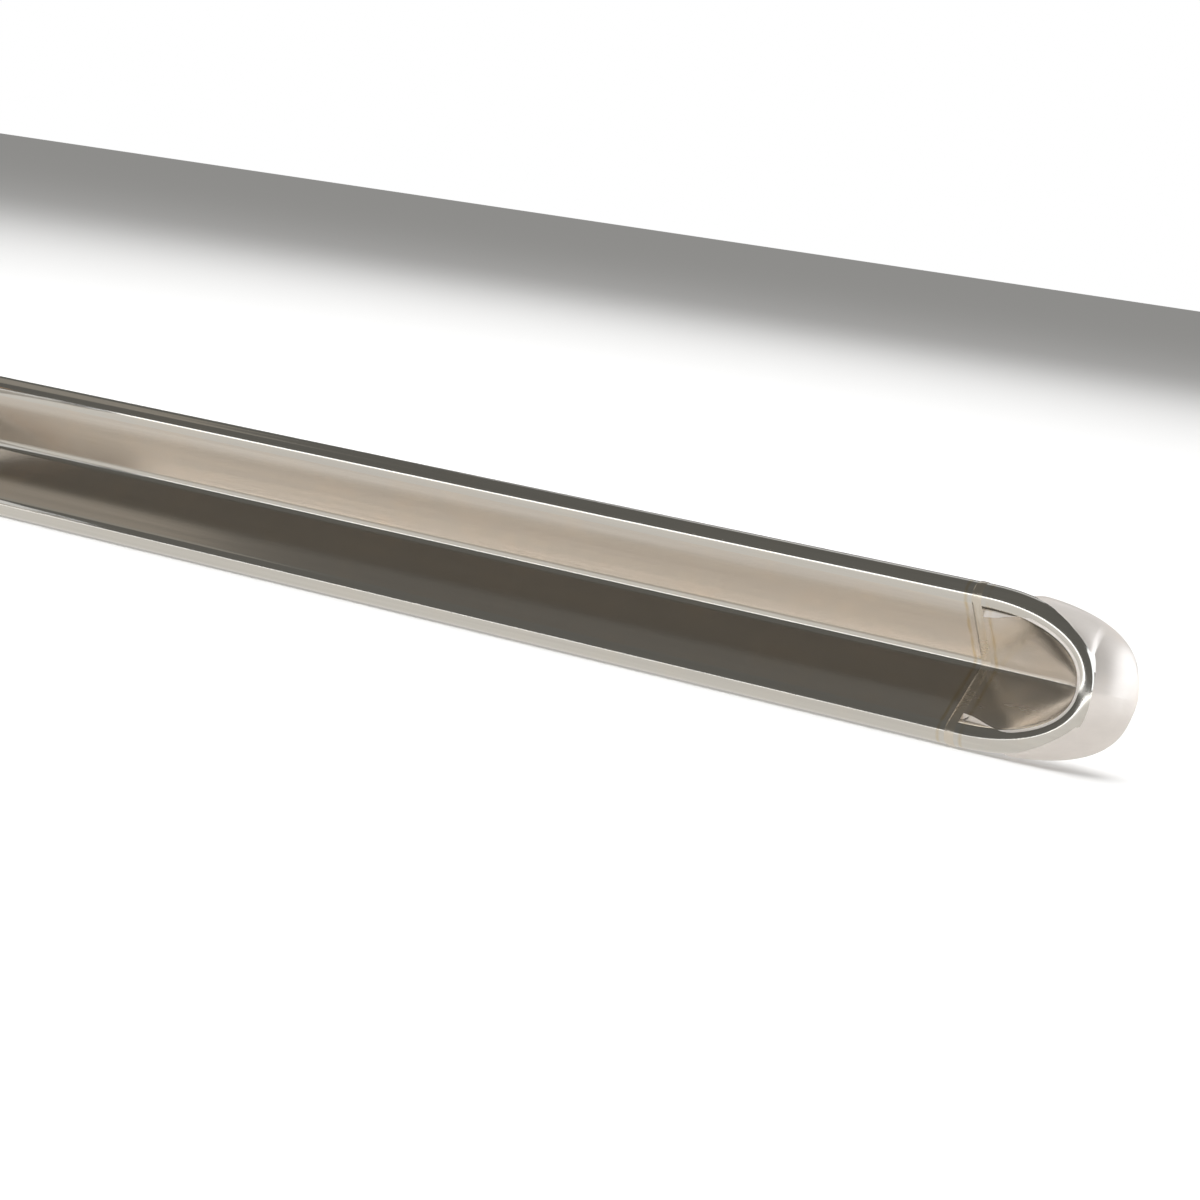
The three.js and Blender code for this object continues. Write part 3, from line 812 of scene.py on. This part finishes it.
# %% Fasteners
WASHER_RADIUS = 8
LOCK_WASHER_RADIUS = 5.4
WASHER_ROUND = 0.25
LOCK_WASHER_ROUND = 0.15
HEAD_RADIUS = 6.2
ROD_END_ROUND = 0.5
NUT_APOTHEM = 5
NUT_DOME_RADIUS = 4.4
FACE_CHAMFER = 0.45
SHOULDER_CHAMFER = 0.7
SHOULDER_FLAT = 0.1
NUT_SHARP_DEGREES = 24
HEAD_STEPS = 14
SOCKET_RADIUS = 2.3
SOCKET_DEPTH = 2.4
SPLIT_DEGREES = 9


def flat_ring(node, radius):
    low, high = span(node)
    return [(low, GRIP_BORE_RADIUS), (low, radius), (high, radius), (high, GRIP_BORE_RADIUS)]


for node in ("front_washer", "rear_washer"):
    disc = softened(flat_ring(node, WASHER_RADIUS), WASHER_ROUND)
    spun(f"{node}_disc", node, disc, "fastener")


def split_ring():
    profile = softened(flat_ring("lock_washer", LOCK_WASHER_RADIUS), LOCK_WASHER_ROUND)
    sweep = math.radians(360 - SPLIT_DEGREES)
    angles = [sweep * i / SPIN_STEPS for i in range(SPIN_STEPS + 1)]
    rings = [[(x, r * math.cos(a), r * math.sin(a)) for x, r in profile] for a in angles]
    mesh = ring_mesh("lock_washer_split", rings, GRIP_AXIS)
    smooth_shading(mesh)
    piece = new_piece("lock_washer_split", mesh, ("fastener",))
    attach(piece, "root")
    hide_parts("lock_washer")


def bolt_profile():
    end, crown = span("through_bolt")
    under = span("front_washer")[1] + BORE_CLEARANCE
    outline = [(end, 0), (end, ROD_RADIUS), (under, ROD_RADIUS)]
    rod_end = softened(outline, ROD_END_ROUND)[CORNER_POINTS : 2 * CORNER_POINTS]
    profile = [(end, 0), *rod_end, (under, ROD_RADIUS)]
    for i in range(HEAD_STEPS + 1):
        angle = math.pi / 2 * i / HEAD_STEPS
        profile.append((under + (crown - under) * math.sin(angle), HEAD_RADIUS * math.cos(angle)))
    return profile[:-1] + [(crown, 0)]


def hexagon(radius, x):
    angles = [math.pi / 3 * i for i in range(6)]
    return [(x, radius * math.cos(a), radius * math.sin(a)) for a in angles]


split_ring()
bolt = spun("through_bolt_rod", "through_bolt", bolt_profile(), "fastener")
crown_x = span("through_bolt")[1]
socket_rings = [hexagon(SOCKET_RADIUS, crown_x - SOCKET_DEPTH), hexagon(SOCKET_RADIUS, crown_x + 1)]
socket_tool = new_piece("socket", ring_mesh("socket", socket_rings, GRIP_AXIS), ("fastener",))
boolean(bolt, socket_tool, "DIFFERENCE")
smooth_shading(bolt.data)


def nut_rings():
    low, face = span("dome_nut")
    base = low + NUT_DOME_RADIUS
    half_flat = math.pi / 6
    corner = NUT_APOTHEM / math.cos(half_flat)
    angles = [2 * math.pi * i / SPIN_STEPS for i in range(SPIN_STEPS)]

    def ring(x, limit):
        from_flat = [(a + half_flat) % (2 * half_flat) - half_flat for a in angles]
        radii = [min(NUT_APOTHEM / math.cos(off), limit) for off in from_flat]
        return [(x, r * math.cos(a), r * math.sin(a)) for r, a in zip(radii, angles)]

    rings = [ring(base - BORE_CLEARANCE, GRIP_BORE_RADIUS), ring(face, GRIP_BORE_RADIUS)]
    rings += [ring(face, NUT_APOTHEM * 0.98), ring(face - FACE_CHAMFER, corner)]
    rings += [ring(base + SHOULDER_CHAMFER, corner), ring(base + SHOULDER_FLAT, NUT_APOTHEM * 0.97)]
    rings.append(ring(base, NUT_DOME_RADIUS))
    for i in range(1, HEAD_STEPS):
        angle = math.pi / 2 * i / HEAD_STEPS
        rings.append(ring(base - NUT_DOME_RADIUS * math.sin(angle), NUT_DOME_RADIUS * math.cos(angle)))
    return rings


nut_mesh = ring_mesh("dome_nut_turned", nut_rings(), GRIP_AXIS)
smooth_shading(nut_mesh, NUT_SHARP_DEGREES)
nut = new_piece("dome_nut_turned", nut_mesh, ("fastener",))
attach(nut, "root")
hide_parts("dome_nut")
print("bolt, nut and washers made")

# %% [markdown]
# ## Floor and reflections
# Polished steel shows its surroundings and little else, so the studio is built for its reflections. The
# floor is a plain sweep with little glow of its own, which keeps a faint shadow under the tool. It is
# white where the lamps reach and goes grey far off. Steel doesn't see it: it sees a glowing card just
# below, warm and dim close to the tool and bright far off, which whitens the far wall of the V and every
# edge that faces down. The dim, warm glow close to the tool is painted shade, standing in for the floor in
# the tool's own shade. A glow's unevenness goes into its colour, and its strength stays one number.

# %% Floor and its card
FLOOR_SIZE = 40.0
FLOOR_GLOW = 0.15
WHITE = colour(1.0, 1.0, 1.0)


def close_glow(bench, tint, strength):
    emitter = bench.node("ShaderNodeEmission", None, tint, strength)
    bench.node("ShaderNodeOutputMaterial", None, Surface=emitter)


def level_square(half, height):
    return [(x * half, y * half, height) for x, y in ((-1, -1), (1, -1), (1, 1), (-1, 1))]


def panel(name, corners, material, camera_sees=False, glossy_sees=True, diffuse_sees=False):
    mesh = bpy.data.meshes.new(name)
    mesh.from_pydata([Vector(c) for c in corners], [], [(0, 1, 2, 3)])
    mesh.materials.append(material)
    card = bpy.data.objects.new(name, mesh)
    bpy.context.collection.objects.link(card)
    card.visible_camera = camera_sees
    card.visible_glossy = glossy_sees
    card.visible_diffuse = diffuse_sees
    card.visible_shadow = False
    card.visible_transmission = False
    card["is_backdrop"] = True
    return card


def sweep_finish():
    material, bench = new_finish("white_sweep")
    drift = bench.noise(bench.place(), 0.8, 2.0)
    tone = bench.blend(drift * 0.3, colour(0.80, 0.80, 0.80), colour(0.76, 0.76, 0.77))
    wanted = {"Base_Color": tone, "Roughness": 1.0, "Specular_IOR_Level": 0.0}
    wanted |= {"Emission_Color": WHITE, "Emission_Strength": FLOOR_GLOW}
    shader = bench.node("ShaderNodeBsdfPrincipled", None, **wanted)
    bench.node("ShaderNodeOutputMaterial", None, Surface=shader)
    return material


floor_corners = level_square(FLOOR_SIZE / 2, 0)
panel("floor", floor_corners, sweep_finish(), camera_sees=True, glossy_sees=False, diffuse_sees=True)

FLOOR_CARD_Z = -0.002
CARD_HALF = 4.0
# painted shade: the card's dim, warm glow close to the tool stands in for the floor in the tool's own shade
NEAR_GLOW = 0.80
FAR_GLOW = 3.0
NEAR_REACH = 0.06
FAR_REACH = 0.42
ALONG_SQUASH = (0.25, 1.0, 0.0)


def floor_glow():
    material, bench = new_finish("floor_glow")
    place = bench.place()
    flat = bench.node("ShaderNodeVectorMath", {"operation": "MULTIPLY"}, place, ALONG_SQUASH)
    distance = bench.node("ShaderNodeVectorMath", {"operation": "LENGTH"}, flat)
    far = bench.ramp(distance, NEAR_REACH, FAR_REACH)
    uneven = (bench.noise(place, 1.2, 2.0) - 0.5) * 0.2
    # painted shade: the glow dims and warms close to the tool, where the floor lies in the tool's shade
    level = far * (FAR_GLOW - NEAR_GLOW) + NEAR_GLOW + uneven
    tint = bench.blend(far, colour(1.0, 0.965, 0.91), WHITE)
    tint = bench.node("ShaderNodeVectorMath", {"operation": "SCALE"}, tint, level)
    close_glow(bench, tint, 1.0)
    return material


panel("floor_card", level_square(CARD_HALF, FLOOR_CARD_Z), floor_glow())
print("floor", FLOOR_SIZE, "m across, its card", 2 * CARD_HALF, "m")

# %% [markdown]
# ## Cards round the tool
# The dim, warm room gives the dark leg of the V and the dark tops of the beads. A low band behind the
# camera runs the bright floor on to the horizon, and a tall soft box beyond the nose draws the bright
# line down its rim. The other two cards keep the sides away from the camera from going black.

# %% Cards and backdrop
GRAIN = 0.04
DOME_SHARE = 0.48


def glow_finish(name, tint, strength, grain=GRAIN):
    material, bench = new_finish(name)
    dim = colour(*(share * (1 - grain / 2) for share in tint[:3]))
    bright = colour(*(share * (1 + grain / 2) for share in tint[:3]))
    close_glow(bench, bench.blend(bench.noise(bench.place(), 1.5, 2.0), dim, bright), strength)
    return material


def across_x(x, near, far, low, high):
    return [(x, near, low), (x, far, low), (x, far, high), (x, near, high)]


def across_y(y, left, right, low, high):
    return [(left, y, low), (right, y, low), (right, y, high), (left, y, high)]


band_corners = across_y(y=-1.6, left=-2.5, right=1.0, low=-0.1, high=0.03)
panel("low_band", band_corners, glow_finish("band_glow", WHITE, FAR_GLOW))
right_corners = across_x(x=0.8, near=-0.7, far=0.9, low=0.0, high=0.85)
panel("right_box", right_corners, glow_finish("right_glow", colour(0.94, 0.97, 1.0), 1.9))
left_corners = across_x(x=-1.0, near=-0.6, far=0.6, low=0.6, high=1.4)
panel("left_card", left_corners, glow_finish("left_glow", colour(1.0, 0.93, 0.82), 0.35))
back_corners = across_y(y=1.2, left=-0.8, right=0.8, low=0.7, high=1.6)
panel("back_card", back_corners, glow_finish("back_glow", WHITE, 0.7))

DOME_RADIUS = FLOOR_SIZE * DOME_SHARE
dome_mesh = bpy.data.meshes.new("backdrop")
dome_shape = bmesh.new()
bmesh.ops.create_icosphere(dome_shape, subdivisions=4, radius=DOME_RADIUS)
dome_shape.to_mesh(dome_mesh)
dome_shape.free()
dome_mesh.materials.append(glow_finish("backdrop_white", WHITE, 1.0, grain=0.0))
dome = bpy.data.objects.new("backdrop", dome_mesh)
bpy.context.collection.objects.link(dome)
for ray in ("glossy", "diffuse", "shadow", "transmission"):
    setattr(dome, f"visible_{ray}", False)
dome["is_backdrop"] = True
print("four cards and a backdrop", round(DOME_RADIUS, 1), "m away")

# %% [markdown]
# ## Room and lamps
# The world is the dim room that the steel mirrors. Two large round lamps give soft light from above and
# behind. They are hidden from reflections, because the cards already draw those.

# %% Room and lamps
ROOM_TONE = (0.150, 0.146, 0.134)

world = bpy.data.worlds.new("room")
world.use_nodes = True
background = world.node_tree.nodes["Background"]
background.inputs["Color"].default_value = colour(*ROOM_TONE)
background.inputs["Strength"].default_value = 1.0
bpy.context.scene.world = world


def soft_light(name, place, size, power):
    lamp = bpy.data.lights.new(name, "AREA")
    lamp.shape = "DISK"
    lamp.size = size
    lamp.energy = power
    light = bpy.data.objects.new(name, lamp)
    bpy.context.collection.objects.link(light)
    to_tool = -Vector(place)
    facing = to_tool.to_track_quat("-Z", "Y").to_matrix().to_4x4()
    light.matrix_world = Matrix.Translation(place) @ facing
    light.visible_glossy = False
    light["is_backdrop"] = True


soft_light("top_soft", (0.2, -0.1, 1.5), size=1.6, power=30)
soft_light("back_soft", (-0.4, 1.1, 1.2), size=1.4, power=8)
bpy.context.scene.view_settings.view_transform = "Standard"
print("room and two lamps ready")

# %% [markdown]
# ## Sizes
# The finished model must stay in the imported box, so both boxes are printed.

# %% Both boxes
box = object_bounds()
for name, corners in (("packed", cad_box), ("dressed", box)):
    print(name, [[round(v / MM, 3) for v in corner] for corner in corners])
